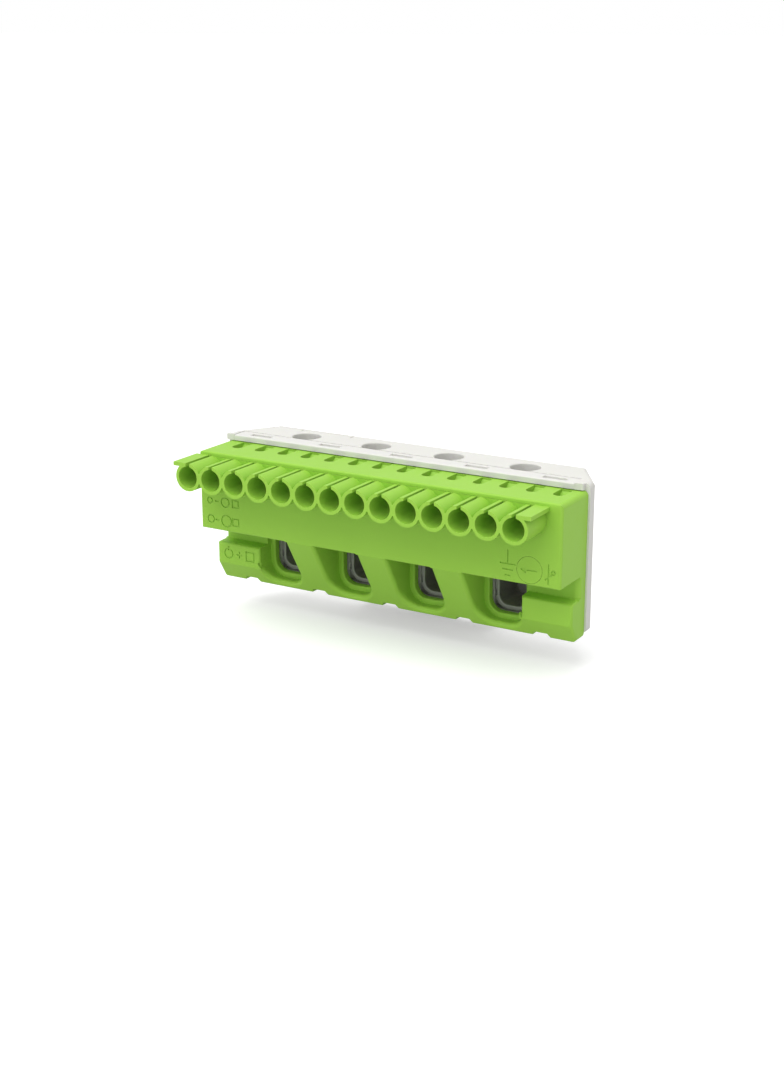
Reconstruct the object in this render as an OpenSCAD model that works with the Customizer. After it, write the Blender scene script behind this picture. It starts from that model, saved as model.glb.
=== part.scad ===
// DIN rail terminal block: a row of push-in wire tubes above a row of screw cage clamps.
// Every sub-part is drawn from the housing's upper front face (Y = 0) and its underside (Z = 0),
// with X from the middle of the housing. on_rail() then moves it to the part's own frame,
// whose origin is the centre of the face that rests on the rail.

/* [Housing] */
// Length of the green housing along the rail
body_w = 87.6; // [87.4:0.2:90]
// Height of the green housing
body_h = 31.2; // [31.2:0.1:31.3]
// Depth of the green housing, from its upper front face to the carrier
housing_d = 12; // [12:0.05:12.2]
// Height of the step under the upper front face
step_z = 13.6; // [13.4:0.1:13.8]
// How far the lower front slants back from the step to the underside
slant_run = 8.4; // [8:0.1:8.8]
// Length of each grooved end ledge
ledge_w = 11.4; // [11:0.1:11.4]

/* [Push-in row] */
// Number of wire tubes
tube_count = 14; // [4:1:14]
// Distance between wire tubes
tube_pitch = 6; // [6:0.05:6.05]
// Radius of a tube's bore
tube_bore_r = 2.4; // [2.2:0.05:2.4]
// Outer radius of a tube
tube_r = 3.1; // [3.05:0.01:3.12]
// How far the tubes stand out of the front face
tube_len = 8.4; // [6:0.2:10]
// Height of the tubes' axes above the underside
tube_z = 27.3; // [27.2:0.05:27.3]
// Width of the slit along the top of a tube
slit_w = 0.95; // [0.6:0.05:1.2]
// Shift of the whole row from the middle of the housing
row_shift = -1.7; // [-1.7:0.05:-1.6]
// Angle through which a push-in spring opens
spring_open_deg = 20; // [10:1:20]

/* [Clamps] */
// Number of cage clamps
clamp_count = 4; // [1:1:4]
// Distance between cage clamps
clamp_pitch = 18; // [17.6:0.1:18]
// Width of a clamp's pocket in the housing
pocket_w = 10.8; // [10.2:0.1:11]
// Outer width of a steel cage
cage_w = 8.2; // [7.8:0.1:8.2]
// Depth of a steel cage along the conductor
cage_d = 9.4; // [9:0.1:9.4]
// Wall thickness of a steel cage
cage_t = 1; // [0.8:0.1:1.1]
// How far a cage rises when its screw is tightened
cage_travel = 6.4; // [5:0.1:6.4]
// Radius of a clamp screw's shank
screw_r = 2.45; // [2:0.05:2.45]
// Radius of the screwdriver guide
guide_r = 3.2; // [3:0.1:3.2]

/* [Selector] */
// Radius of the selector dial
dial_r = 2.78; // [2.4:0.02:2.8]
// Distance of the dial from the middle of the housing
dial_x = 36.9; // [36:0.1:37]
// Height of the dial above the underside
dial_z = 16.75; // [16.6:0.05:16.9]

/* [Rail foot] */
// Width of the rail that the foot clips to
rail_w = 35; // [35:0.1:35.1]
// Thickness of the rail
rail_t = 1; // [1:0.1:1.2]
// Length of the foot along the rail
foot_w = 34; // [28:1:40]
// How far the latch pulls down to let go of the rail
latch_travel = 2.6; // [2:0.1:2.6]

/* [Hidden] */

$fn = 48;
eps = 0.01;

// where the rail-seat origin lies, from the front face and the underside
seat_y = 27.5;
rail_z = 11.7;

// housing walls and chambers
wall = 1.8;
side_wall = 1.6;
ledge_y = 5.9;
ledge_top = 8.8;
groove_y = 9.1;
groove_z = 9.0;
chamber_top = body_h - 1.5;
shelf_z = 22.0;
shelf_t = 1.4;
stop_y = 10.6;
stop_t = 0.7;
stop_top = 28.3;
notch_w = 4.2;
notch_h = 1.0;
mark_d = 0.2;
mark_t = 0.32;

// wire tubes and their strip
row_x0 = row_shift - (tube_count - 1) * tube_pitch / 2;
plug_h = 6.1;
plug_d = wall;
fit_gap = 0.05;
flange_top = 3.1;
flange_t = 0.85;
flange_over = 3.7;
// flat lip on the left of every slit
lip_w = 1.3;
lip_z = 2.95;

// release slots
slot_w = 2.6;
slot_y0 = 5.6;
slot_y1 = 10.8;
slot_lip = 0.45;
slot_slope = 2.4;
slot_dx = 2.5;

// clamps
clamp_x0 = -(clamp_count - 1) * clamp_pitch / 2;
clamp_y = 17.6;
pocket_z = 1.55;
pocket_r = 4;
pocket_ring_y = 10.45;
pocket_ring_w = 1.15;
cage_z0 = 2.75;
cage_h = 14.45;
cage_top_t = 2;
cage_corner_r = 3;
cage_bore_r = screw_r + 0.05;
head_r = 3.75;
head_z = cage_z0 + cage_h + cage_travel + 0.6;
head_h = 3;

// busbar
bar_x0 = row_x0 - 1.4;
bar_x1 = row_x0 + (tube_count - 1) * tube_pitch + 1.6;
bar_t = 1.2;
bar_web_y = 11.4;
bar_flange_z = 28.6;
bar_flange_t = 1.0;
tongue_z = 12.2;
tongue_w = 5.8;
tongue_y1 = 20.9;

// push-in springs
leaf_w = 4.6;
leaf_dx = 0.85;
leaf_t = 0.35;
pivot_y = 3.0;
pivot_z = 24.25;
leaf_len = 7.7;
leaf_rise_deg = spring_open_deg + 10;
strip_t = 0.25;

// carrier
carrier_w = 88.4;
carrier_y1 = 23.5;
carrier_z0 = 1.0;
carrier_top = 32.75;
ledge_front_y = 10.9;
ledge_back = 1.1;
top_under_z = 31.4;
side_flat_y = 14.3;
chamfer_w = 5.8;
carrier_wall = 1.5;
back_wall = 0.9;
floor_t = 1.4;
guide_z0 = 27.6;
guide_wall = 1.1;
rib_t = 1.0;
rib_gap = 0.3;
rib_y = 13.4;
rib_top = 23.8;

// marker strip
marker_x0 = -42;
marker_x1 = 41.1;
marker_y1 = 14.7;
marker_t = 1.0;
marker_low = 0.1;
marker_lip = 0.7;
window_w = 5.3;
window_d = 1.6;
window_y = 12.2;
window_deep = marker_t + 0.1;

// rail foot, its seat pad, its hook and its latch
pad_half = 14.9;
pad_h = 0.2;
rail_top = rail_z + rail_w / 2;
rail_bottom = rail_z - rail_w / 2;
hook_gap = 0.15;
hook_t = 1.6;
hook_h = 1.0;
hook_drop = 1.6;
latch_w = 10;
latch_side = 1;
latch_y = 24.5;
latch_step_y = 25.8;
latch_top = 9.4;
latch_bottom = rail_bottom - 1.2;
latch_nose = latch_travel + 1;
latch_rise = 2.6;
foot_rise = 1.6;
tab_z = 2.1;
window_z0 = tab_z - latch_travel - 0.7;
window_z1 = 8.2;
tab_h = 1.1;
coil_r = 1.25;
coil_wire = 0.35;

function spring_name(i) = str("push_in_spring_", i < 10 ? "0" : "", i);
function tube_x(i) = row_x0 + i * tube_pitch;
function clamp_x(i) = clamp_x0 + i * clamp_pitch;
function arc(cx, cy, r, a0, a1, n) =
    [for (k = [0 : n]) let (a = a0 + (a1 - a0) * k / n) [cx + r * cos(a), cy + r * sin(a)]];

// from the front face and the underside to the rail-seat frame
module on_rail() {
    translate([0, -seat_y, -rail_z]) children();
}

// a box given by its lowest and highest corners
module block(low, high) {
    translate(low) cube(high - low);
}

// a Y-Z outline carried along X from x0 to x1
module along_x(x0, x1) {
    translate([x0, 0, 0]) rotate([90, 0, 90]) linear_extrude(x1 - x0) children();
}

// an X-Z outline carried along Y from y0 to y1
module along_y(y0, y1) {
    translate([0, y1, 0]) rotate([90, 0, 0]) linear_extrude(y1 - y0) children();
}

// a cylinder along Y from y0 to y1
module rod_y(r, y0, y1) {
    translate([0, y1, 0]) rotate([90, 0, 0]) cylinder(r = r, h = y1 - y0);
}

// a channel with round lower corners, open at the top edge, from its bottom at z0 up to z1
module u_outline(w, z0, z1, r) {
    polygon(concat(
        arc(-w / 2 + r, z0 + r, r, 180, 270, 8),
        arc(w / 2 - r, z0 + r, r, 270, 360, 8),
        [[w / 2, z1], [-w / 2, z1]]));
}

// engraved marks on a face that looks along -Y, each cut mark_d deep
module mark_bar(x, z, w, h) {
    block([x - w / 2, -eps, z - h / 2], [x + w / 2, mark_d, z + h / 2]);
}

module mark_ring(x, z, r) {
    translate([x, 0, z]) difference() {
        rod_y(r, -eps, mark_d);
        rod_y(r - mark_t, -1, 1);
    }
}

module mark_square(x, z, w) {
    difference() {
        mark_bar(x, z, w, w);
        block([x - w / 2 + mark_t, -1, z - w / 2 + mark_t], [x + w / 2 - mark_t, 1, z + w / 2 - mark_t]);
    }
}

// conductor sizes as two rings, small to large, and the square sign of a cross-section
module size_row(z, r_small, r_large) {
    mark_ring(-42 + r_small, z, r_small);
    mark_bar(-39.3, z, 1, mark_t);
    mark_ring(-38.3 + r_large, z, r_large);
    mark_square(-34.4, z, 1.9);
}

module earth_sign(x, z) {
    mark_bar(x, z + 1.45, mark_t, 2.9);
    for (k = [0 : 2]) mark_bar(x, z - 1.2 * k, 3.5 - 1.15 * k, mark_t);
}

module neutral_sign(x, z) {
    mark_bar(x, z, mark_t, 4.2);
    translate([x, 0, z - 0.6]) rotate([0, -40, 0]) mark_bar(0, 0, 1.9, mark_t);
    mark_ring(x + 1.1, z + 0.5, 0.55);
}

module release_slots() {
    for (i = [0 : tube_count - 1]) translate([tube_x(i) + slot_dx, 0, 0]) {
        along_x(-slot_w / 2, slot_w / 2) polygon([
            [slot_y0 + slot_w / 2, body_h + 1], [slot_y1, body_h + 1], [slot_y1, body_h - slot_lip],
            [slot_y1 - slot_slope, chamber_top - 1], [slot_y0 + slot_w / 2, chamber_top - 1]]);
        translate([0, slot_y0 + slot_w / 2, chamber_top - 1]) cylinder(d = slot_w, h = 4);
    }
}

module clamp_pockets() {
    for (i = [0 : clamp_count - 1]) translate([clamp_x(i), 0, 0]) {
        along_y(-1, pocket_ring_y) u_outline(pocket_w, pocket_z, step_z, pocket_r);
        along_y(pocket_ring_y - eps, housing_d + 1) u_outline(pocket_w - 2 * pocket_ring_w,
            pocket_z + pocket_ring_w, step_z, pocket_r - pocket_ring_w);
    }
}

module housing() {
    half = body_w / 2;
    web = half - ledge_w;
    ledge_foot_z = step_z * (1 - ledge_y / slant_run);
    color("yellowgreen") on_rail() difference() {
        union() {
            block([-half, 0, step_z], [half, housing_d, body_h]);
            along_x(-web, web) polygon([[slant_run, 0], [housing_d, 0],
                [housing_d, step_z + 1], [1, step_z + 1], [1, step_z], [0, step_z]]);
            for (x0 = [-half, web - eps]) along_x(x0, x0 + ledge_w + eps) polygon([[slant_run, 0],
                [housing_d, 0], [housing_d, step_z + 1], [groove_y, step_z + 1],
                [groove_y, groove_z], [ledge_y, ledge_top], [ledge_y, ledge_foot_z]]);
        }
        // chamber of the push-in springs, and the window that the entry strip fills
        block([-half + side_wall, wall, shelf_z + shelf_t], [half - side_wall, stop_y, chamber_top]);
        block([-half + side_wall, stop_y - eps, stop_top], [half - side_wall, housing_d + 1, chamber_top]);
        translate([0, 0, tube_z]) plug(plug_h / 2, -1, wall + eps);
        // hollow behind the front face, and the busbar's way down to the clamps
        block([-half + side_wall, wall, step_z + 1.4], [half - side_wall, housing_d + 1, shelf_z]);
        block([bar_x0 - 0.3, stop_y + stop_t, tongue_z - 0.3], [bar_x1 + 0.3, housing_d + 1, chamber_top]);
        release_slots();
        clamp_pockets();
        for (x = [-2 : 2]) translate([x * clamp_pitch, 0, 0])
            along_y(slant_run - 3, housing_d + 1) polygon([[-notch_w / 2, -eps], [notch_w / 2, -eps],
                [notch_w / 2 - 0.6, notch_h], [-notch_w / 2 + 0.6, notch_h]]);
        // seat and hole of the selector dial
        translate([dial_x, 0, dial_z]) {
            rod_y(dial_r + 0.07, -1, 1.1);
            rod_y(1.25, 0, wall + eps);
        }
        size_row(20.2, 0.8, 1.2);
        size_row(16.0, 1, 1.45);
        earth_sign(32.1, 17.4);
        neutral_sign(41.1, 16.5);
        // signs of a tube and of a square clamp, with a plus between them
        translate([0, ledge_y, 0]) {
            mark_ring(-40.8, 6.4, 1.25);
            mark_bar(-40.8, 7.6, 0.5, 1);
            mark_bar(-37.9, 6.4, 1.6, mark_t);
            mark_bar(-37.9, 6.4, mark_t, 1.6);
            mark_square(-35, 6.4, 2.4);
        }
    }
}

// bar with round ends behind the tubes, as high as a tube
module plug(half, y0, y1) {
    last = tube_x(tube_count - 1);
    block([tube_x(0), y0, -half], [last, y1, half]);
    for (x = [tube_x(0), last]) translate([x, 0, 0]) rod_y(half, y0, y1);
}

module entry_strip() {
    last = tube_x(tube_count - 1);
    color("yellowgreen") on_rail() difference() {
        union() {
            for (i = [0 : tube_count - 1]) translate([tube_x(i), 0, tube_z]) {
                rod_y(tube_r, -tube_len, 0);
                if (i > 0) block([-lip_w, -tube_len, 2], [0, 0, lip_z]);
            }
            block([tube_x(0), -tube_len, tube_z - 1.1], [last, 0, tube_z + 1.1]);
            block([tube_x(0) - flange_over, -tube_len, tube_z + flange_top - flange_t],
                [tube_x(0), 0, tube_z + flange_top]);
            block([last, -tube_len, tube_z + flange_top - flange_t],
                [last + flange_over, 0, tube_z + flange_top]);
            translate([0, 0, tube_z]) plug(plug_h / 2 - fit_gap, -eps, plug_d);
        }
        for (i = [0 : tube_count - 1]) translate([tube_x(i), 0, tube_z]) {
            rod_y(tube_bore_r, -tube_len - 1, plug_d + 1);
            if (i > 0) block([-lip_w, -tube_len - 1, lip_z], [0, -eps, tube_r + 1]);
            block([-slit_w / 2, -tube_len - 1, 0], [slit_w / 2, -eps, tube_r + 1]);
        }
    }
}

// plan of the carrier: straight short sides at the front, slanted rear corners
module carrier_plan(inset, y0, y1) {
    x = carrier_w / 2 - inset;
    polygon([[-x, y0], [x, y0], [x, side_flat_y], [x - chamfer_w, y1], [-x + chamfer_w, y1],
        [-x, side_flat_y]]);
}

module hook_outline() {
    lip_y = seat_y + rail_t + hook_gap;
    polygon([[seat_y - 1, rail_top + 0.1], [lip_y, rail_top + 0.1], [lip_y, rail_top - hook_drop],
        [lip_y + hook_t, rail_top - hook_drop], [lip_y + hook_t, rail_top + 0.1 + hook_h],
        [seat_y - 1, rail_top + 0.1 + hook_h]]);
}

module rail_foot() {
    half = foot_w / 2;
    difference() {
        union() {
            block([-half, carrier_y1 - eps, rail_bottom - 0.1],
                [half, seat_y - pad_h, rail_top + 0.1 + hook_h]);
            block([-half, carrier_y1 - eps, rail_z - pad_half], [half, seat_y, rail_z + pad_half]);
            along_x(-half, half) hook_outline();
        }
        // T-slot of the latch
        block([-latch_w / 2 - 0.2, latch_y, -20], [latch_w / 2 + 0.2, seat_y + 1, latch_top + 0.4]);
        block([-latch_w / 2 - latch_side - 0.2, latch_y - 0.2, -20],
            [latch_w / 2 + latch_side + 0.2, latch_step_y + 0.2, latch_top + 0.4]);
        along_x(-half - 1, half + 1) polygon([[carrier_y1 - 1, rail_bottom - 5],
            [carrier_y1 - 1, rail_bottom + foot_rise], [seat_y, rail_bottom - 0.1 - eps],
            [seat_y, rail_bottom - 5]]);
    }
    // fixed tab that the latch spring stands on
    block([-1.3, latch_y - 0.3, tab_z], [1.3, seat_y - 0.2, tab_z + tab_h]);
}

module carrier() {
    half = carrier_w / 2;
    color("whitesmoke") on_rail() {
        difference() {
            union() {
                translate([0, 0, carrier_z0]) linear_extrude(carrier_top - carrier_z0)
                    carrier_plan(0, housing_d, carrier_y1);
                block([-half, ledge_front_y, top_under_z], [half - ledge_back, housing_d + eps, carrier_top]);
            }
            translate([0, 0, carrier_z0 + floor_t])
                linear_extrude(top_under_z - 0.2 - carrier_z0 - floor_t)
                carrier_plan(carrier_wall, housing_d - 1, carrier_y1 - back_wall);
            // seat of the marker strip
            block([marker_x0 - fit_gap, ledge_front_y - 1, carrier_top - marker_t],
                [marker_x1 + fit_gap, marker_y1 + fit_gap, carrier_top + 1]);
            block([marker_x0 - fit_gap, ledge_front_y - 1, top_under_z - 1],
                [marker_x1 + fit_gap, ledge_front_y + marker_lip + fit_gap, carrier_top + 1]);
            driver_holes();
            // plain strip-length gauge cut into the top
            translate([0, 0, carrier_top - mark_d]) {
                block([-38.5, 22.3, 0], [-17.6, 22.6, 1]);
                for (x = [-38.5, -31, -17.9]) block([x, 20.9, 0], [x + 0.3, 22.3, 1]);
            }
        }
        difference() {
            driver_sleeves();
            driver_holes();
        }
        clamp_ribs();
        rail_foot();
    }
}

module driver_holes() {
    for (i = [0 : clamp_count - 1])
        translate([clamp_x(i), clamp_y, guide_z0 - 1]) cylinder(r = guide_r, h = carrier_top + 2 - guide_z0);
}

module driver_sleeves() {
    for (i = [0 : clamp_count - 1])
        translate([clamp_x(i), clamp_y, guide_z0])
            cylinder(r = guide_r + guide_wall, h = top_under_z - 0.2 - guide_z0 + 0.1);
}

// ribs on both sides of every cage, which guide it as it rises
module clamp_ribs() {
    x = cage_w / 2 + rib_gap + rib_t / 2;
    for (i = [0 : clamp_count - 1], side = [-1, 1]) translate([clamp_x(i) + side * x, 0, 0])
        block([-rib_t / 2, rib_y, carrier_z0 + floor_t - eps],
            [rib_t / 2, carrier_y1 - back_wall + eps, rib_top]);
}

module marker_strip() {
    color("white") on_rail() difference() {
        union() {
            block([marker_x0, ledge_front_y, carrier_top - marker_t + fit_gap],
                [marker_x1, marker_y1, carrier_top - marker_low]);
            block([marker_x0, ledge_front_y, top_under_z],
                [marker_x1, ledge_front_y + marker_lip, carrier_top - marker_low]);
        }
        for (x = [-2 : 2]) translate([x * clamp_pitch, 0, 0])
            block([-window_w / 2, window_y, carrier_top - window_deep],
                [window_w / 2, window_y + window_d, carrier_top + 1]);
    }
}

module busbar() {
    color("peru") on_rail() difference() {
        union() {
            block([bar_x0, 2.5, bar_flange_z], [bar_x1, bar_web_y + bar_t, bar_flange_z + bar_flange_t]);
            block([bar_x0, bar_web_y, tongue_z], [bar_x1, bar_web_y + bar_t, bar_flange_z + bar_flange_t]);
            for (i = [0 : clamp_count - 1]) translate([clamp_x(i), 0, 0])
                block([-tongue_w / 2, bar_web_y, tongue_z], [tongue_w / 2, tongue_y1, tongue_z + bar_t]);
        }
        // windows that let a release tool through, beside every conductor
        for (i = [0 : tube_count - 1]) translate([tube_x(i) + slot_dx, 0, 0])
            block([-1.05, 5.2, bar_flange_z - 1], [1.05, 10.5, bar_flange_z + 2]);
    }
}

module spring_strip() {
    z = shelf_z + shelf_t;
    color("silver") on_rail()
        block([bar_x0, wall + 0.3, z], [bar_x1, stop_y - 0.3, z + strip_t]);
}

// one push-in leaf: a curled eye at its root, a straight blade up to its tip
module push_in_spring(i) {
    color("gainsboro") on_rail() translate([tube_x(i) + leaf_dx - leaf_w / 2, pivot_y, pivot_z])
        rotate([leaf_rise_deg, 0, 0]) {
            rotate([0, 90, 0]) cylinder(r = 0.5, h = leaf_w);
            block([0, 0, 0.5 - leaf_t], [leaf_w, leaf_len, 0.5]);
        }
}

module cage_clamp(i) {
    r_in = cage_corner_r - cage_t;
    z1 = cage_z0 + cage_h;
    color("dimgray") on_rail() translate([clamp_x(i), 0, 0]) difference() {
        along_y(clamp_y - cage_d / 2, clamp_y + cage_d / 2)
            u_outline(cage_w, cage_z0, z1, cage_corner_r);
        along_y(clamp_y - cage_d / 2 - 1, clamp_y + cage_d / 2 - cage_t)
            u_outline(cage_w - 2 * cage_t, cage_z0 + cage_t, z1 - cage_top_t, r_in);
        translate([0, clamp_y, z1 - cage_top_t - 1]) cylinder(r = cage_bore_r, h = cage_top_t + 2);
    }
}

module clamp_screw(i) {
    tip_z = tongue_z + bar_t + 0.05;
    color("lightsteelblue") on_rail() translate([clamp_x(i), clamp_y, 0]) difference() {
        union() {
            translate([0, 0, tip_z]) cylinder(r = screw_r, h = head_z - tip_z + eps);
            translate([0, 0, head_z]) cylinder(r = head_r, h = head_h);
        }
        for (a = [0, 90]) rotate([0, 0, a])
            block([-2.3, -0.55, head_z + head_h - 1.8], [2.3, 0.55, head_z + head_h + 1]);
    }
}

module selector_dial() {
    color("yellowgreen") on_rail() translate([dial_x, 0, dial_z]) difference() {
        union() {
            rod_y(dial_r, 0, 1.05);
            rod_y(1.2, 1, 2.9);
            rod_y(1.55, wall + 0.1, 2.9);
        }
        // arrow towards the earth sign
        mark_bar(0.35, 0, 2.6, mark_t);
        along_y(-eps, mark_d) polygon([[-2, 0], [-0.8, 0.75], [-0.8, -0.75]]);
    }
}

module rail_latch() {
    half = latch_w / 2;
    nose_y = seat_y + rail_t + hook_gap;
    color("whitesmoke") on_rail() difference() {
        union() {
            block([-half - latch_side, latch_y, latch_bottom], [half + latch_side, latch_step_y, latch_top]);
            block([-half, latch_y, latch_bottom], [half, seat_y - 0.2, latch_top]);
            block([-half, latch_y, latch_bottom], [half, nose_y + hook_t, rail_bottom - 0.15]);
            block([-half, nose_y, latch_bottom], [half, nose_y + hook_t, latch_bottom + latch_nose]);
        }
        block([-1.6, latch_y - 1, window_z0], [1.6, seat_y + 1, window_z1]);
        along_x(-half - 2, half + 2) polygon([[latch_y - 1, latch_bottom - 5],
            [latch_y - 1, latch_bottom + latch_rise], [seat_y + 0.4, latch_bottom - eps],
            [seat_y + 0.4, latch_bottom - 5]]);
    }
}

module latch_spring() {
    z0 = tab_z + tab_h + 0.05;
    color("silver") on_rail() translate([0, (latch_y + seat_y) / 2, z0]) difference() {
        cylinder(r = coil_r, h = window_z1 - 0.05 - z0);
        translate([0, 0, -1]) cylinder(r = coil_r - coil_wire, h = 20);
    }
}

housing();
entry_strip();
carrier();
marker_strip();
busbar();
spring_strip();
selector_dial();
rail_latch();
latch_spring();
for (i = [0 : tube_count - 1])
    push_in_spring(i);
for (i = [0 : clamp_count - 1]) {
    cage_clamp(i);
    clamp_screw(i);
}
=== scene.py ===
import math
import bmesh
import bpy
import numpy as np
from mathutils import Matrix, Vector


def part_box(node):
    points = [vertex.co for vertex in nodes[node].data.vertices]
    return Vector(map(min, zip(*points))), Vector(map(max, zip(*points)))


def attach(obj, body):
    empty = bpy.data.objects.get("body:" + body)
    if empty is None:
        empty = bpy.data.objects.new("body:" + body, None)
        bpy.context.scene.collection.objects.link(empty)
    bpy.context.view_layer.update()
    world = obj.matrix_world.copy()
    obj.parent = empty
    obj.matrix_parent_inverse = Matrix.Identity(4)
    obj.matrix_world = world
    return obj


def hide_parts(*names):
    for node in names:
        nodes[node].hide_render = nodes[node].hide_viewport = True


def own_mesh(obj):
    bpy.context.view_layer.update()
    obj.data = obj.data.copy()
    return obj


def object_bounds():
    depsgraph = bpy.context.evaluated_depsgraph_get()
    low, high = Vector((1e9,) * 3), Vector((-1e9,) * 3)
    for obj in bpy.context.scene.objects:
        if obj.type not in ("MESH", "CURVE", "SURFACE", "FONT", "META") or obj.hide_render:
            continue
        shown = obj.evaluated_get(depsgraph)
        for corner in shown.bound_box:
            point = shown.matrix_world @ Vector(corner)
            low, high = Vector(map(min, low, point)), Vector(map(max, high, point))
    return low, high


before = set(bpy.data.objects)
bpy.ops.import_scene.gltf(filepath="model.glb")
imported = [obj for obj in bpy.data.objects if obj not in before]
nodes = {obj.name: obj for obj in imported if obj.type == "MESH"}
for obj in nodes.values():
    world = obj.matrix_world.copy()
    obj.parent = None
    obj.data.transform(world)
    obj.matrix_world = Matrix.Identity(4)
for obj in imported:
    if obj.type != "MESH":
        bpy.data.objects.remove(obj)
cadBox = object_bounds()

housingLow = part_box("housing")[0]
mm = 0.001
frontY = housingLow[1]      # upper front face of the green housing
floorZ = housingLow[2]      # its underside
print("frame loaded,", len(nodes), "CAD nodes")


# a place given in millimetres from the housing's front face and underside
def place(x, y, z):
    return (x * mm, frontY + y * mm, floorZ + z * mm)


# ---- small helpers for node trees

def addNode(tree, kind, at, **inputs):
    node = tree.nodes.new(kind)
    node.location = at
    for key, value in inputs.items():
        node.inputs[key].default_value = value
    return node


def ramp(tree, at, stops):
    node = tree.nodes.new("ShaderNodeValToRGB")
    node.location = at
    while len(node.color_ramp.elements) > 2:
        node.color_ramp.elements.remove(node.color_ramp.elements[-1])
    for i, (position, colour) in enumerate(stops):
        element = node.color_ramp.elements[i] if i < 2 else node.color_ramp.elements.new(position)
        element.position = position
        element.color = (*colour, 1)
    return node


mouldedPlastic = {
    "grainScale": 9000.0,      # fine spark-eroded grain of the mould
    "grainBump": 0.06,
    "flowScale": 60.0,         # slow colour drift of the melt
    "flowStretch": 0.35,
    "edgeRadius": 0.0006,      # how far the painted edge highlight reaches
}


# satin moulded plastic: melt drift in the colour, fine grain, and a painted highlight along the edges
def makePlastic(name, body, deep, edgeHighlightColour, roughness, look=mouldedPlastic, edgeHighlightAmount=0.25, softness=0.05):
    material = bpy.data.materials.new(name)
    material.use_nodes = True
    tree = material.node_tree
    tree.nodes.clear()
    link = tree.links.new
    output = addNode(tree, "ShaderNodeOutputMaterial", (900, 0))
    shader = addNode(tree, "ShaderNodeBsdfPrincipled", (600, 0))
    shader.inputs["IOR"].default_value = 1.5
    shader.inputs["Specular IOR Level"].default_value = 0.24
    shader.inputs["Subsurface Weight"].default_value = softness
    shader.inputs["Subsurface Radius"].default_value = (0.6, 1.0, 0.3)
    shader.inputs["Subsurface Scale"].default_value = 0.0008
    link(shader.outputs[0], output.inputs[0])
    where = addNode(tree, "ShaderNodeTexCoord", (-1400, 0))
    stretch = addNode(tree, "ShaderNodeMapping", (-1200, 200))
    stretch.inputs["Scale"].default_value = (1, 1, look["flowStretch"])
    link(where.outputs["Object"], stretch.inputs[0])
    drift = addNode(tree, "ShaderNodeTexNoise", (-950, 250), Scale=look["flowScale"], Detail=3.0,
                    Roughness=0.55)
    link(stretch.outputs[0], drift.inputs["Vector"])
    tone = ramp(tree, (-700, 250), [(0.3, deep), (0.7, body)])
    link(drift.outputs["Fac"], tone.inputs[0])
    # painted edge highlight: the base colour turns lighter where the normal of a rounded copy of the surface
    # differs from the flat one
    rounded = addNode(tree, "ShaderNodeBevel", (-1200, -250), Radius=look["edgeRadius"])
    rounded.samples = 6
    flat = addNode(tree, "ShaderNodeNewGeometry", (-1200, -450))
    same = addNode(tree, "ShaderNodeVectorMath", (-950, -300))
    same.operation = "DOT_PRODUCT"
    link(rounded.outputs[0], same.inputs[0])
    link(flat.outputs["Normal"], same.inputs[1])
    edge = addNode(tree, "ShaderNodeMapRange", (-700, -300))
    edge.inputs["From Min"].default_value = 0.995
    edge.inputs["From Max"].default_value = 0.85
    edge.inputs["To Max"].default_value = edgeHighlightAmount
    link(same.outputs["Value"], edge.inputs["Value"])
    mix = tree.nodes.new("ShaderNodeMix")
    mix.data_type = "RGBA"
    mix.location = (-350, 200)
    link(edge.outputs[0], mix.inputs["Factor"])
    link(tone.outputs[0], mix.inputs["A"])
    mix.inputs["B"].default_value = (*edgeHighlightColour, 1)
    link(mix.outputs["Result"], shader.inputs["Base Color"])
    patch = addNode(tree, "ShaderNodeTexNoise", (-950, 0), Scale=look["flowScale"] * 5, Detail=4.0)
    link(where.outputs["Object"], patch.inputs["Vector"])
    gloss = addNode(tree, "ShaderNodeMapRange", (-700, 0))
    gloss.inputs["To Min"].default_value = roughness - 0.05
    gloss.inputs["To Max"].default_value = roughness + 0.07
    link(patch.outputs["Fac"], gloss.inputs["Value"])
    link(gloss.outputs[0], shader.inputs["Roughness"])
    grain = addNode(tree, "ShaderNodeTexNoise", (-350, -350), Scale=look["grainScale"], Detail=2.0)
    link(where.outputs["Object"], grain.inputs["Vector"])
    bump = addNode(tree, "ShaderNodeBump", (300, -300), Strength=look["grainBump"], Distance=0.00002)
    link(grain.outputs["Fac"], bump.inputs["Height"])
    link(bump.outputs[0], shader.inputs["Normal"])
    return material


metalLook = {
    "brushScale": 2500.0,
    "brushStretch": 0.04,
    "brushBump": 0.12,
    "stainScale": 350.0,
}


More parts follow.
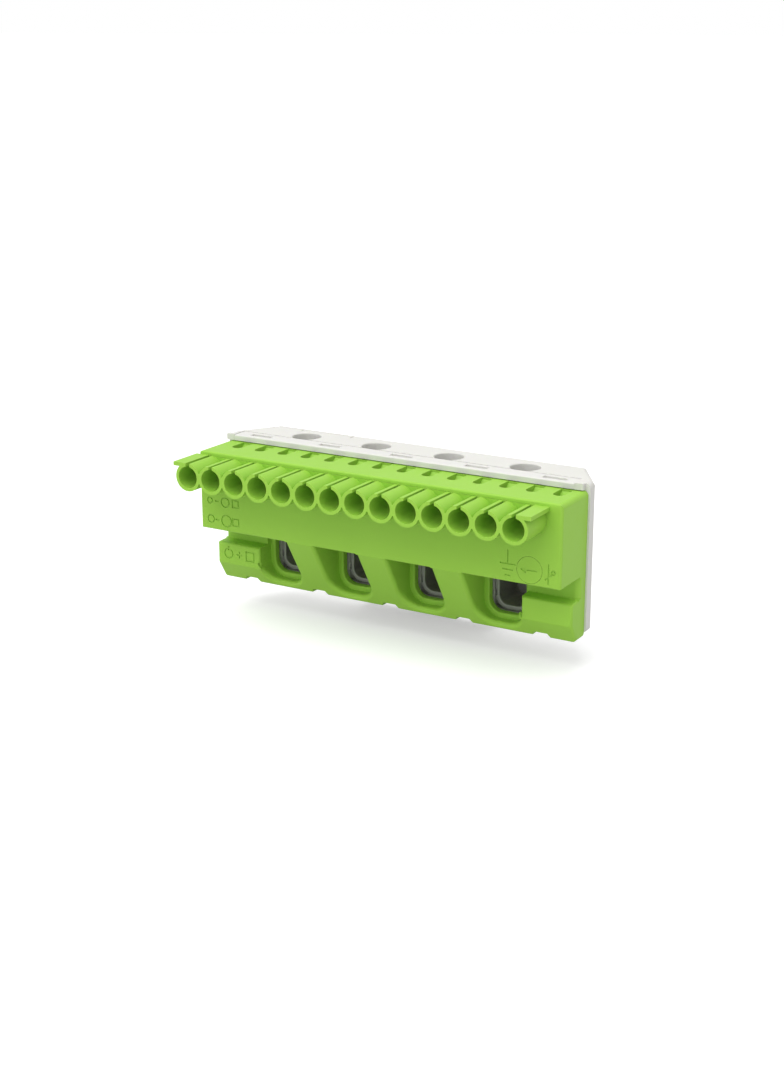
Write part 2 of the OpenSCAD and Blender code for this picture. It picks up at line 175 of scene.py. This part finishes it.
# drawn or stamped metal: brushed lines along one axis, darker stains, uneven gloss
def makeMetal(name, bright, dark, roughness, along=0, metallic=1.0, look=metalLook):
    material = bpy.data.materials.new(name)
    material.use_nodes = True
    tree = material.node_tree
    tree.nodes.clear()
    link = tree.links.new
    output = addNode(tree, "ShaderNodeOutputMaterial", (900, 0))
    shader = addNode(tree, "ShaderNodeBsdfPrincipled", (600, 0))
    shader.inputs["Metallic"].default_value = metallic
    link(shader.outputs[0], output.inputs[0])
    where = addNode(tree, "ShaderNodeTexCoord", (-1200, 0))
    stretch = addNode(tree, "ShaderNodeMapping", (-1000, -200))
    scale = [1.0, 1.0, 1.0]
    scale[along] = look["brushStretch"]
    stretch.inputs["Scale"].default_value = scale
    link(where.outputs["Object"], stretch.inputs[0])
    brush = addNode(tree, "ShaderNodeTexNoise", (-750, -200), Scale=look["brushScale"], Detail=3.0)
    link(stretch.outputs[0], brush.inputs["Vector"])
    stain = addNode(tree, "ShaderNodeTexNoise", (-750, 200), Scale=look["stainScale"], Detail=5.0,
                    Roughness=0.6)
    link(where.outputs["Object"], stain.inputs["Vector"])
    tone = ramp(tree, (-500, 200), [(0.35, dark), (0.65, bright)])
    link(stain.outputs["Fac"], tone.inputs[0])
    link(tone.outputs[0], shader.inputs["Base Color"])
    gloss = addNode(tree, "ShaderNodeMapRange", (-500, -50))
    gloss.inputs["To Min"].default_value = roughness - 0.08
    gloss.inputs["To Max"].default_value = roughness + 0.1
    link(brush.outputs["Fac"], gloss.inputs["Value"])
    link(gloss.outputs[0], shader.inputs["Roughness"])
    bump = addNode(tree, "ShaderNodeBump", (300, -300), Strength=look["brushBump"], Distance=0.00002)
    link(brush.outputs["Fac"], bump.inputs["Height"])
    link(bump.outputs[0], shader.inputs["Normal"])
    return material


# the fourth colour of each plastic is the lighter colour painted along its edges as a highlight
greenPlastic = makePlastic("greenPlastic", (0.298, 0.560, 0.060), (0.284, 0.540, 0.056),
                           (0.34, 0.60, 0.085), 0.46)
whitePlastic = makePlastic("whitePlastic", (0.645, 0.64, 0.605), (0.63, 0.625, 0.59),
                           (0.70, 0.695, 0.66), 0.5, edgeHighlightAmount=0.15)
markerPlastic = makePlastic("markerPlastic", (0.655, 0.65, 0.62), (0.64, 0.635, 0.605),
                            (0.71, 0.705, 0.675), 0.42, edgeHighlightAmount=0.1)
cageSteel = makeMetal("cageSteel", (0.33, 0.33, 0.315), (0.29, 0.29, 0.275), 0.5, along=1, metallic=0.4)
screwSteel = makeMetal("screwSteel", (0.62, 0.62, 0.62), (0.42, 0.42, 0.42), 0.3, along=0)
springSteel = makeMetal("springSteel", (0.55, 0.55, 0.54), (0.38, 0.38, 0.37), 0.28, along=0)
busbarBrass = makeMetal("busbarBrass", (0.75, 0.52, 0.26), (0.55, 0.36, 0.16), 0.3, along=0)
print("materials made")


# ---- moulded pieces: copies of the CAD nodes, with a fillet shaved along each edge that the mould rounds

shading = {
    "mergeGap": 0.000004,
    "smoothAngle": 31.0,       # edges turned by more than this stay crisp
    "filletSteps": 7,
    "outside": 0.06,           # how far a shaving tool reaches outside the surface, in millimetres
}


def takeMesh(nodeName, pieceName):
    piece = bpy.data.objects.new(pieceName, nodes[nodeName].data.copy())
    piece.data.name = pieceName
    bpy.context.scene.collection.objects.link(piece)
    bpy.context.view_layer.objects.active = piece
    bpy.ops.object.select_all(action="DESELECT")
    piece.select_set(True)
    if piece.data.has_custom_normals:
        bpy.ops.mesh.customdata_custom_splitnormals_clear()
    shape = bmesh.new()
    shape.from_mesh(piece.data)
    bmesh.ops.remove_doubles(shape, verts=shape.verts, dist=shading["mergeGap"])
    shape.to_mesh(piece.data)
    shape.free()
    return piece


# one shaving tool: edge points with the outward normals of the two faces that meet there.
# its section is the sliver between the sharp edge and a circle that touches both faces.
def filletTool(points, normalA, normalB, radius):
    steps = shading["filletSteps"]
    points = np.array(points, float)
    normalA = np.broadcast_to(np.array(normalA, float), points.shape)
    normalB = np.broadcast_to(np.array(normalB, float), points.shape)
    normalA = normalA / np.linalg.norm(normalA, axis=1, keepdims=True)
    normalB = normalB / np.linalg.norm(normalB, axis=1, keepdims=True)
    between = (normalA * normalB).sum(1, keepdims=True)
    reach = (normalA + normalB) / (1 + between)
    centre = points - radius * reach
    angle = np.arccos(np.clip(between, -1, 1))
    share = np.linspace(0, 1, steps + 1)[:, None, None]
    arcs = (np.sin((1 - share) * angle) * normalA + np.sin(share * angle) * normalB) / np.sin(angle)
    arcs = centre + radius * arcs
    out = shading["outside"]
    ring = np.concatenate([arcs, (arcs[-1] + out * normalB)[None], (points + out * reach)[None],
                           (arcs[0] + out * normalA)[None]])
    around, count = ring.shape[0], ring.shape[1]
    vertices = ring.transpose(1, 0, 2).reshape(-1, 3)
    a = np.arange(count - 1)[:, None] * around + np.arange(around)
    b = np.arange(count - 1)[:, None] * around + (np.arange(around) + 1) % around
    sides = np.stack([a, a + around, b + around, b], -1).reshape(-1, 4)
    return vertices, sides.tolist() + [list(range(around)), list(range((count - 1) * around, count * around))]


# joins tools into one mesh and shaves them all off the piece
def shave(piece, tools):
    vertices, faces, start = [], [], 0
    for toolVertices, toolFaces in tools:
        vertices.append(toolVertices)
        faces += [[start + corner for corner in face] for face in toolFaces]
        start += len(toolVertices)
    points = np.concatenate(vertices) * mm + np.array([0, frontY, floorZ])
    toolMesh = bpy.data.meshes.new("shavings")
    toolMesh.from_pydata(points.tolist(), [], faces)
    shape = bmesh.new()
    shape.from_mesh(toolMesh)
    bmesh.ops.recalc_face_normals(shape, faces=shape.faces)
    shape.to_mesh(toolMesh)
    shape.free()
    tool = bpy.data.objects.new("shavings", toolMesh)
    bpy.context.scene.collection.objects.link(tool)
    cut = piece.modifiers.new("shave", "BOOLEAN")
    cut.operation = "DIFFERENCE"
    cut.solver = "EXACT"
    cut.use_self = True
    cut.object = tool
    applied = bpy.data.meshes.new_from_object(piece.evaluated_get(bpy.context.evaluated_depsgraph_get()))
    piece.modifiers.clear()
    piece.data = applied
    applied.name = piece.name
    bpy.data.objects.remove(tool)
    bpy.data.meshes.remove(toolMesh)


def shadeEvenly(piece):
    shape = bmesh.new()
    shape.from_mesh(piece.data)
    bmesh.ops.remove_doubles(shape, verts=shape.verts, dist=shading["mergeGap"])
    bmesh.ops.dissolve_degenerate(shape, dist=shading["mergeGap"], edges=shape.edges)
    shape.to_mesh(piece.data)
    shape.free()
    bpy.context.view_layer.objects.active = piece
    bpy.ops.object.select_all(action="DESELECT")
    piece.select_set(True)
    bpy.ops.object.shade_smooth_by_angle(angle=math.radians(shading["smoothAngle"]))
    weighted = piece.modifiers.new("evenShading", "WEIGHTED_NORMAL")
    weighted.keep_sharp = True
    weighted.weight = 100


def settle(piece, material, nodeNames, body):
    piece.data.materials.clear()
    piece.data.materials.append(material)
    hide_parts(*nodeNames)
    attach(piece, body)


up, down, forward, back = (0, 0, 1), (0, 0, -1), (0, -1, 0), (0, 1, 0)

housingForm = {
    "half": 43.8,              # half the length; places are from the front face and the underside
    "top": 31.2,
    "step": 13.6,
    "slantRun": 8.4,
    "ledgeInner": 32.4,
    "ledgeY": 5.9,
    "ledgeTop": 8.8,
    "grooveY": 9.1,
    "grooveZ": 9.0,
    "rear": 12.0,
    "clamps": [-27, -9, 9, 27],
    "pocketWidth": 10.8,
    "pocketFloor": 1.55,
    "pocketCorner": 4.0,
    "ringY": 10.45,
    "ringWidth": 1.15,
    "topSideR": 1.1,           # fillet radii
    "topFrontR": 0.45,
    "cornerR": 0.7,
    "underR": 0.4,
    "webR": 0.9,
    "mouthR": 0.85,
    "ringR": 0.35,
    "ledgeR": 0.55,
    "grooveR": 1.2,
    "footR": 0.45,
    "sideFootR": 1.0,
}


# U outline in the XZ plane with its inward normals: down the left side, along the floor, up the right side
def pocketPath(centre, width, floorAt, corner, top, steps=12):
    turns = np.linspace(math.pi, 1.5 * math.pi, steps)
    left = np.stack([centre - width / 2 + corner + corner * np.cos(turns),
                     floorAt + corner + corner * np.sin(turns)], 1)
    leftN = -np.stack([np.cos(turns), np.sin(turns)], 1)
    turns = turns + math.pi / 2
    right = np.stack([centre + width / 2 - corner + corner * np.cos(turns),
                      floorAt + corner + corner * np.sin(turns)], 1)
    rightN = -np.stack([np.cos(turns), np.sin(turns)], 1)
    path = np.concatenate([[[centre - width / 2, top]], left, right, [[centre + width / 2, top]]])
    inward = np.concatenate([[[1, 0]], leftN, rightN, [[-1, 0]]])
    return path, np.stack([inward[:, 0], np.zeros(len(inward)), inward[:, 1]], 1)


def housingTools():
    h = housingForm
    half, top, step, run = h["half"], h["top"], h["step"], h["slantRun"]
    slant = (0, -step, -run)
    footZ = step * (1 - h["ledgeY"] / run)
    tools = [filletTool([(-half - 2, 0, top), (half + 2, 0, top)], up, forward, h["topFrontR"]),
             filletTool([(-half - 2, run, 0), (half + 2, run, 0)], slant, down, h["footR"])]
    for side in (-1, 1):
        x, inner, out = side * half, side * h["ledgeInner"], (side, 0, 0)
        tools += [
            filletTool([(x, -1, top), (x, h["rear"] + 1, top)], up, out, h["topSideR"]),
            filletTool([(x, 0, step - 1), (x, 0, top + 1)], forward, out, h["cornerR"]),
            filletTool([(inner, 0, step), (x + side, 0, step)], forward, down, h["underR"]),
            filletTool([(x, -1, step), (x, h["grooveY"], step)], out, down, h["underR"]),
            filletTool([(inner, h["ledgeY"], h["ledgeTop"]), (x + side, h["ledgeY"], h["ledgeTop"])],
                       forward, up, h["ledgeR"]),
            filletTool([(inner, h["ledgeY"], footZ), (x + side, h["ledgeY"], footZ)],
                       forward, slant, h["webR"]),
            filletTool([(x, h["ledgeY"], footZ - 1), (x, h["ledgeY"], h["ledgeTop"] + 1)],
                       forward, out, h["ledgeR"]),
            filletTool([(x, h["ledgeY"] - 1, h["ledgeTop"]), (x, h["grooveY"], h["grooveZ"])],
                       out, up, h["ledgeR"]),
            filletTool([(x, h["grooveY"], h["grooveZ"]), (x, h["grooveY"], step)],
                       forward, out, h["grooveR"]),
            filletTool([(x, h["ledgeY"] - run / 10, footZ + step / 10), (x, run + run / 10, -step / 10)],
                       slant, out, h["ledgeR"]),
            filletTool([(x, run - 2, 0), (x, h["rear"] + 1, 0)], out, down, h["sideFootR"]),
        ]
    for centre in h["clamps"]:
        halfPocket = h["pocketWidth"] / 2
        tools.append(filletTool([(centre - halfPocket, 0, step), (centre + halfPocket, 0, step)],
                                forward, down, h["underR"]))
        path, inward = pocketPath(centre, h["pocketWidth"], h["pocketFloor"], h["pocketCorner"], step - 0.05)
        edge = np.stack([path[:, 0], run * (1 - path[:, 1] / step), path[:, 1]], 1)
        # beside a ledge the mouth follows the slanted face only up to the ledge, then the ledge's own front
        atLedge = (np.abs(path[:, 0]) > h["ledgeInner"] - h["pocketCorner"]) & (path[:, 1] > footZ)
        tools.append(filletTool(edge[~atLedge], slant, inward[~atLedge], h["mouthR"]))
        if atLedge.any():
            wall = np.stack([path[:, 0], np.full(len(path), h["ledgeY"]), path[:, 1]], 1)[atLedge]
            tools.append(filletTool(wall, forward, inward[atLedge], h["ledgeR"]))
        ring = h["ringWidth"]
        path, inward = pocketPath(centre, h["pocketWidth"] - 2 * ring, h["pocketFloor"] + ring,
                                  h["pocketCorner"] - ring, step - 0.05)
        edge = np.stack([path[:, 0], np.full(len(path), h["ringY"]), path[:, 1]], 1)
        tools.append(filletTool(edge, forward, inward, h["ringR"]))
    for left, right in zip(h["clamps"][:-1], h["clamps"][1:]):
        web = [(left + h["pocketWidth"] / 2, 0, step), (right - h["pocketWidth"] / 2, 0, step)]
        tools.append(filletTool(web, forward, slant, h["webR"]))
    return tools


housingPiece = takeMesh("housing", "housingShell")
shave(housingPiece, housingTools())
shadeEvenly(housingPiece)
settle(housingPiece, greenPlastic, ["housing"], "block")
print("housing rounded,", len(housingPiece.data.polygons), "faces")


carrierForm = {
    "half": 44.2,
    "top": 32.75,
    "under": 1.0,
    "ledgeUnder": 31.4,
    "ledgeY": 10.9,
    "ledgeEnd": 43.1,
    "front": 12.0,
    "sideY": 14.3,
    "chamfer": 5.8,
    "rear": 23.5,
    "rearReach": 40,           # the rear edges are shaved this far to each side
    "holes": [-27, -9, 9, 27],
    "holeY": 17.6,
    "holeR": 3.2,
    "topR": 1.2,
    "lowR": 0.8,
    "rearR": 0.8,
    "cornerR": 1.2,
    "ledgeR": 0.3,
    "holeEdgeR": 0.35,
}


def carrierTools():
    c = carrierForm
    tools = []
    for level, faces in ((c["top"], up), (c["under"], down)):
        tools.append(filletTool([(-c["rearReach"], c["rear"], level), (c["rearReach"], c["rear"], level)],
                                faces, back, c["rearR"]))
    for side in (-1, 1):
        x, out = side * c["half"], (side, 0, 0)
        cornerX = side * (c["half"] - c["chamfer"])
        run = c["rear"] - c["sideY"]
        slope = np.array([-side * c["chamfer"], run]) / math.hypot(c["chamfer"], run)
        outSlope = (side * run, c["chamfer"], 0)
        for level, faces, radius in ((c["top"], up, c["topR"]), (c["under"], down, c["lowR"])):
            tools.append(filletTool([(x, c["front"] - 0.001, level), (x, c["sideY"] + 1, level)],
                                    faces, out, radius))
            tools.append(filletTool([(x - slope[0], c["sideY"] - slope[1], level),
                                     (cornerX + slope[0], c["rear"] + slope[1], level)],
                                    faces, outSlope, radius))
        tools.append(filletTool([(x, c["sideY"], c["under"] - 1), (x, c["sideY"], c["top"] + 1)],
                                out, outSlope, c["cornerR"]))
        tools.append(filletTool([(cornerX, c["rear"], c["under"] - 1), (cornerX, c["rear"], c["top"] + 1)],
                                outSlope, back, c["cornerR"]))
    for x, side in ((-c["half"], -1), (c["ledgeEnd"], 1)):
        out = (side, 0, 0)
        tools.append(filletTool([(x, c["ledgeY"], c["ledgeUnder"] - 1), (x, c["ledgeY"], c["top"] + 1)],
                                forward, out, c["ledgeR"]))
        tools.append(filletTool([(x, c["ledgeY"] - 1, c["top"]), (x, c["front"], c["top"])],
                                up, out, c["ledgeR"]))
    turns = np.linspace(0, 2 * math.pi, 49)
    for centre in c["holes"]:
        rim = np.stack([centre + c["holeR"] * np.cos(turns), c["holeY"] + c["holeR"] * np.sin(turns),
                        np.full(len(turns), c["top"])], 1)
        inward = -np.stack([np.cos(turns), np.sin(turns), np.zeros(len(turns))], 1)
        tools.append(filletTool(rim, up, inward, c["holeEdgeR"]))
    return tools


carrierPiece = takeMesh("carrier", "rearCarrier")
shave(carrierPiece, carrierTools())
shadeEvenly(carrierPiece)
settle(carrierPiece, whitePlastic, ["carrier"], "block")
print("carrier rounded,", len(carrierPiece.data.polygons), "faces")


markerForm = {
    "left": -42.0,
    "right": 41.1,
    "front": 10.9,
    "rear": 14.7,
    "top": 32.65,
    "edgeR": 0.3,
    "windows": [-36, -18, 0, 18, 36],
    "windowWidth": 5.3,
    "windowFront": 12.2,
    "windowDepth": 1.6,
    "windowR": 0.15,
}


def markerTools():
    m = markerForm
    tools = [filletTool([(m["left"] - 1, m["front"], m["top"]), (m["right"] + 1, m["front"], m["top"])],
                        up, forward, m["edgeR"])]
    for x, side in ((m["left"], -1), (m["right"], 1)):
        tools.append(filletTool([(x, m["front"] - 1, m["top"]), (x, m["rear"] + 1, m["top"])],
                                up, (side, 0, 0), m["windowR"]))
    for x in m["windows"]:
        y0, y1 = m["windowFront"], m["windowFront"] + m["windowDepth"]
        x0, x1 = x - m["windowWidth"] / 2, x + m["windowWidth"] / 2
        for ends, inward in ((((x0, y0), (x1, y0)), back), (((x0, y1), (x1, y1)), forward),
                             (((x0, y0), (x0, y1)), (1, 0, 0)), (((x1, y0), (x1, y1)), (-1, 0, 0))):
            tools.append(filletTool([(*end, m["top"]) for end in ends], up, inward, m["windowR"]))
    return tools


markerPiece = takeMesh("marker_strip", "markerStrip")
shave(markerPiece, markerTools())
shadeEvenly(markerPiece)
settle(markerPiece, markerPlastic, ["marker_strip"], "block")

for nodeName, pieceName, material, body, slotName in [
        ("entry_strip", "entryTubes", greenPlastic, "block", "green_plastic"),
        ("rail_latch", "railLatch", whitePlastic, "latch", "white_plastic"),
        ("selector_dial", "selectorDial", greenPlastic, "dial", "green_plastic")]:
    piece = takeMesh(nodeName, pieceName)
    shadeEvenly(piece)
    settle(piece, material, [nodeName], body)
print("moulded pieces rounded")

cageForm = {
    "width": 8.2,
    "floor": 2.75,
    "top": 17.2,
    "corner": 3.0,
    "wall": 1.0,
    "lid": 2.0,
    "front": 12.9,
    "outerR": 0.12,
    "innerR": 0.3,
    "notch": (5.4, 6.8),       # height of the notch in the left rim
    "notchDepth": 0.55,
}


def boxTool(low, high):
    x, y, z = np.meshgrid([0, 1], [0, 1], [0, 1], indexing="ij")
    unit = np.stack([x, y, z], -1).reshape(-1, 3)
    vertices = np.array(low) + unit * (np.array(high) - np.array(low))
    return vertices, [[0, 1, 3, 2], [4, 6, 7, 5], [0, 4, 5, 1], [2, 3, 7, 6], [0, 2, 6, 4], [1, 5, 7, 3]]


def cageTools(centre):
    c = cageForm
    wall, half = c["wall"], c["width"] / 2
    path, inward = pocketPath(centre, c["width"], c["floor"], c["corner"], c["top"] + 1)
    outer = np.stack([path[:, 0], np.full(len(path), c["front"]), path[:, 1]], 1)
    tools = [filletTool(outer, forward, -inward, c["outerR"])]
    path, inward = pocketPath(centre, c["width"] - 2 * wall, c["floor"] + wall, c["corner"] - wall,
                              c["top"] - c["lid"])
    inner = np.stack([path[:, 0], np.full(len(path), c["front"]), path[:, 1]], 1)
    tools.append(filletTool(inner, forward, inward, c["innerR"]))
    lid = [(centre - half - 1, c["front"], c["top"]), (centre + half + 1, c["front"], c["top"])]
    tools.append(filletTool(lid, forward, up, c["outerR"]))
    tools.append(boxTool((centre - half - 0.5, c["front"] - 0.5, c["notch"][0]),
                         (centre - half + wall * 0.55, c["front"] + c["notchDepth"], c["notch"][1])))
    return tools


for number, centre in enumerate(housingForm["clamps"], 1):
    cage = takeMesh(f"cage_clamp_{number}", f"cage_{number}")
    shave(cage, cageTools(centre))
    shadeEvenly(cage)
    settle(cage, cageSteel, [f"cage_clamp_{number}"], f"cage_{number}")
print("cages rounded")


# ---- turned and coiled pieces, worked out as grids

# rows of points round a closed outline, joined into a skin and capped at both ends
def gridPiece(name, points, material):
    rows, around = points.shape[:2]
    vertices = points.reshape(-1, 3)
    row = np.arange(rows - 1)[:, None] * around
    column = np.arange(around)
    a, b = row + column, row + (column + 1) % around
    faces = np.stack([a, b, b + around, a + around], -1).reshape(-1, 4).tolist()
    faces += [list(range(around))[::-1], list(range((rows - 1) * around, rows * around))]
    mesh = bpy.data.meshes.new(name)
    mesh.from_pydata((vertices * mm + np.array([0, frontY, floorZ])).tolist(), [], faces)
    shape = bmesh.new()
    shape.from_mesh(mesh)
    bmesh.ops.recalc_face_normals(shape, faces=shape.faces)
    shape.to_mesh(mesh)
    shape.free()
    piece = bpy.data.objects.new(name, mesh)
    bpy.context.scene.collection.objects.link(piece)
    mesh.materials.append(material)
    return piece


screwForm = {
    "y": 17.6,
    "tip": 13.45,
    "shank": 2.45,
    "pitch": 0.8,
    "threadDepth": 0.42,
    "headZ": 24.2,
    "headR": 3.75,
    "headTop": 27.2,
    "headEdge": 0.45,
    "crossLength": 2.5,
    "crossWidth": 0.55,
    "crossDepth": 1.8,
    "around": 96,
}


# a screw as one grid: the shank's radius is a triangle wave of height minus turn over pitch,
# the head's top sinks wherever the cross recess is
def makeScrew(name, centre):
    f = screwForm
    turns = np.linspace(0, 2 * math.pi, f["around"], endpoint=False)
    heights = np.linspace(f["tip"] + 0.35, f["headZ"] - 0.7, int((f["headZ"] - f["tip"]) / f["pitch"] * 8))
    phase = (heights[:, None] / f["pitch"] - turns[None, :] / (2 * math.pi)) % 1.0
    fade = np.clip((f["headZ"] - 0.8 - heights[:, None]) / 0.5, 0, 1)
    threadR = f["shank"] - f["threadDepth"] * np.abs(2 * phase - 1) * fade - 0.02
    edge = f["headEdge"]
    bend = np.linspace(0, math.pi / 2, 6)
    profile = [(f["headZ"] - 0.02, f["shank"]), (f["headZ"], f["shank"] + 0.1),
               (f["headZ"], f["headR"] - 0.15), (f["headZ"] + 0.15, f["headR"])]
    profile += [(f["headTop"] - edge + edge * math.sin(t), f["headR"] - edge + edge * math.cos(t))
                for t in bend]
    rows = [np.full(f["around"], f["shank"] * 0.01), np.full(f["around"], f["shank"] * 0.72)]
    levels = [np.full(f["around"], f["tip"]), np.full(f["around"], f["tip"])]
    for z, r in zip(heights, threadR):
        rows.append(r)
        levels.append(np.full(f["around"], z))
    for z, r in profile:
        rows.append(np.full(f["around"], r))
        levels.append(np.full(f["around"], z))
    # coarse rings on the flat of the head, fine ones across the recess
    flat = np.linspace(f["headR"] - edge - 0.05, 2.7, 4)
    recess = np.linspace(2.62, 0.02, 44)
    for r in np.concatenate([flat, recess]):
        x, y = r * np.cos(turns), r * np.sin(turns)
        bar = np.minimum(np.maximum(np.abs(x) / f["crossLength"], np.abs(y) / f["crossWidth"]),
                         np.maximum(np.abs(y) / f["crossLength"], np.abs(x) / f["crossWidth"]))
        sink = f["crossDepth"] * np.clip((1.06 - bar) / 0.12, 0, 1)
        rows.append(np.full(f["around"], r))
        levels.append(f["headTop"] - sink)
    radius, level = np.array(rows), np.array(levels)
    points = np.stack([centre + radius * np.cos(turns), f["y"] + radius * np.sin(turns), level], -1)
    return gridPiece(name, points, screwSteel)


for number, centre in enumerate(housingForm["clamps"], 1):
    screw = makeScrew(f"screw_{number}", centre)
    shadeEvenly(screw)
    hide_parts(f"clamp_screw_{number}")
    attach(screw, f"screw_{number}")


coilForm = {
    "y": 26.0,
    "low": 3.25,
    "high": 8.15,
    "radius": 1.08,
    "wire": 0.17,
    "turns": 8.0,
    "around": 10,
    "perTurn": 28,
}


# the latch's spring: a round wire carried along a helix, with its end turns lying flat
def makeCoil(name):
    f = coilForm
    along = np.linspace(0, f["turns"], int(f["turns"] * f["perTurn"]) + 1)
    eased = np.clip((along - 1) / (f["turns"] - 2), 0, 1)
    dead = 2 * f["wire"] * 1.05
    span = f["high"] - f["low"] - 2 * f["wire"] - 2 * dead
    endTurns = np.clip(along, 0, 1) + np.clip(along - f["turns"] + 1, 0, 1)
    rise = f["low"] + f["wire"] + dead * endTurns + span * eased
    turns = 2 * math.pi * along
    core = np.stack([f["radius"] * np.cos(turns), f["y"] + f["radius"] * np.sin(turns), rise], 1)
    outward = np.stack([np.cos(turns), np.sin(turns), np.zeros(len(turns))], 1)
    ring = np.linspace(0, 2 * math.pi, f["around"], endpoint=False)
    points = (core[:, None] + f["wire"] * (np.cos(ring)[None, :, None] * outward[:, None]
              + np.sin(ring)[None, :, None] * np.array([0, 0, 1.0])))
    return gridPiece(name, points, springSteel)


coil = makeCoil("latchCoil")
shadeEvenly(coil)
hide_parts("latch_spring")
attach(coil, "block")
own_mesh(coil)
print("screws and spring made")

for nodeName, material in [("busbar", busbarBrass), ("spring_strip", springSteel)]:
    for slotIn in nodes[nodeName].material_slots:
        slotIn.material = material
for nodeName, node in nodes.items():
    if nodeName.startswith("push_in_spring"):
        node.material_slots[0].material = springSteel


# ---- studio

studio = {
    "azimuth": 30.47,          # degrees to the right of straight ahead
    "elevation": 16.68,
    "lens": 57.24,
    "distance": 359.5,         # millimetres
    "aim": (1.07, 7.15, 17.18),
    "airLight": 0.78,
    "floorSize": 40.0,
    "floorGap": 0.0002,        # the floor lies this far below the lowest point, in metres
    "floorSeen": 0.7,
    "floorGlow": 0.4,          # the paper floor's own brightness, so that its shadow stays faint
    "floorBounce": 0.62,
    "overheadFrom": (-0.12, -0.38, 1.0),
    "overhead": 1.98,
    "overheadSpread": 60,      # degrees of sky that the lamp fills
    "frontFrom": (-0.35, -1.0, 0.1),
    "front": 0.45,
    "frontSpread": 80,
}

turn = math.radians(studio["azimuth"])
rise = math.radians(studio["elevation"])
towards = np.array([math.sin(turn) * math.cos(rise), -math.cos(turn) * math.cos(rise), math.sin(rise)])
cameraData = bpy.data.cameras.new("camera")
camera = bpy.data.objects.new("camera", cameraData)
bpy.context.scene.collection.objects.link(camera)
cameraData.lens = studio["lens"]
cameraData.sensor_width = 36.0
cameraData.clip_start = 0.01
cameraData.clip_end = 50.0
camera.location = np.array(place(*studio["aim"])) + towards * studio["distance"] * mm
camera.rotation_euler = (math.radians(90) - rise, 0, turn)
bpy.context.scene.camera = camera

world = bpy.data.worlds.new("studioAir")
bpy.context.scene.world = world
world.use_nodes = True
sky = world.node_tree
sky.nodes.clear()
skyOut = addNode(sky, "ShaderNodeOutputWorld", (600, 0))
skyLight = addNode(sky, "ShaderNodeBackground", (0, 100), Color=(1, 1, 1, 1), Strength=studio["airLight"])
skySeen = addNode(sky, "ShaderNodeBackground", (0, -100), Color=(1, 1, 1, 1), Strength=1.0)
skyMix = addNode(sky, "ShaderNodeMixShader", (300, 0))
skyRay = addNode(sky, "ShaderNodeLightPath", (-300, 0))
sky.links.new(skyRay.outputs["Is Camera Ray"], skyMix.inputs[0])
sky.links.new(skyLight.outputs[0], skyMix.inputs[1])
sky.links.new(skySeen.outputs[0], skyMix.inputs[2])
sky.links.new(skyMix.outputs[0], skyOut.inputs[0])

floorMesh = bpy.data.meshes.new("studioFloor")
side = studio["floorSize"] / 2
lowest = float(cadBox[0][2]) - studio["floorGap"]
floorCorners = [(-side, -side, lowest), (side, -side, lowest), (side, side, lowest), (-side, side, lowest)]
floorMesh.from_pydata(floorCorners, [], [(0, 1, 2, 3)])
floor = bpy.data.objects.new("studioFloor", floorMesh)
bpy.context.scene.collection.objects.link(floor)
floorMaterial = bpy.data.materials.new("paleFloor")
floorMaterial.use_nodes = True
floorTree = floorMaterial.node_tree
floorShader = floorTree.nodes["Principled BSDF"]
floorShader.inputs["Roughness"].default_value = 0.95
floorShader.inputs["Specular IOR Level"].default_value = 0.0
floorRay = addNode(floorTree, "ShaderNodeLightPath", (-700, 0))
floorTone = addNode(floorTree, "ShaderNodeMix", (-300, 0))
floorTone.data_type = "RGBA"
floorTone.inputs["A"].default_value = (*[studio["floorBounce"]] * 3, 1)
floorTone.inputs["B"].default_value = (*[studio["floorSeen"]] * 3, 1)
floorTree.links.new(floorRay.outputs["Is Camera Ray"], floorTone.inputs["Factor"])
floorGlow = addNode(floorTree, "ShaderNodeMath", (-300, -250))
floorGlow.operation = "MULTIPLY"
floorGlow.inputs[1].default_value = studio["floorGlow"]
floorTree.links.new(floorRay.outputs["Is Camera Ray"], floorGlow.inputs[0])
floorTree.links.new(floorGlow.outputs[0], floorShader.inputs["Emission Strength"])
floorShader.inputs["Emission Color"].default_value = (1, 1, 1, 1)
floorTree.links.new(floorTone.outputs["Result"], floorShader.inputs["Base Color"])
floorMesh.materials.append(floorMaterial)


# a very wide, soft lamp that shines along a direction given as the point it comes from
def addSoftLight(name, comesFrom, strength, spread):
    lamp = bpy.data.lights.new(name, "SUN")
    lamp.energy = strength
    lamp.angle = math.radians(spread)
    holder = bpy.data.objects.new(name, lamp)
    bpy.context.scene.collection.objects.link(holder)
    holder.rotation_euler = Vector(comesFrom).to_track_quat("Z", "Y").to_euler()


addSoftLight("overheadLight", studio["overheadFrom"], studio["overhead"], studio["overheadSpread"])
addSoftLight("frontLight", studio["frontFrom"], studio["front"], studio["frontSpread"])
bpy.context.scene.view_settings.view_transform = "Standard"
print("studio ready")
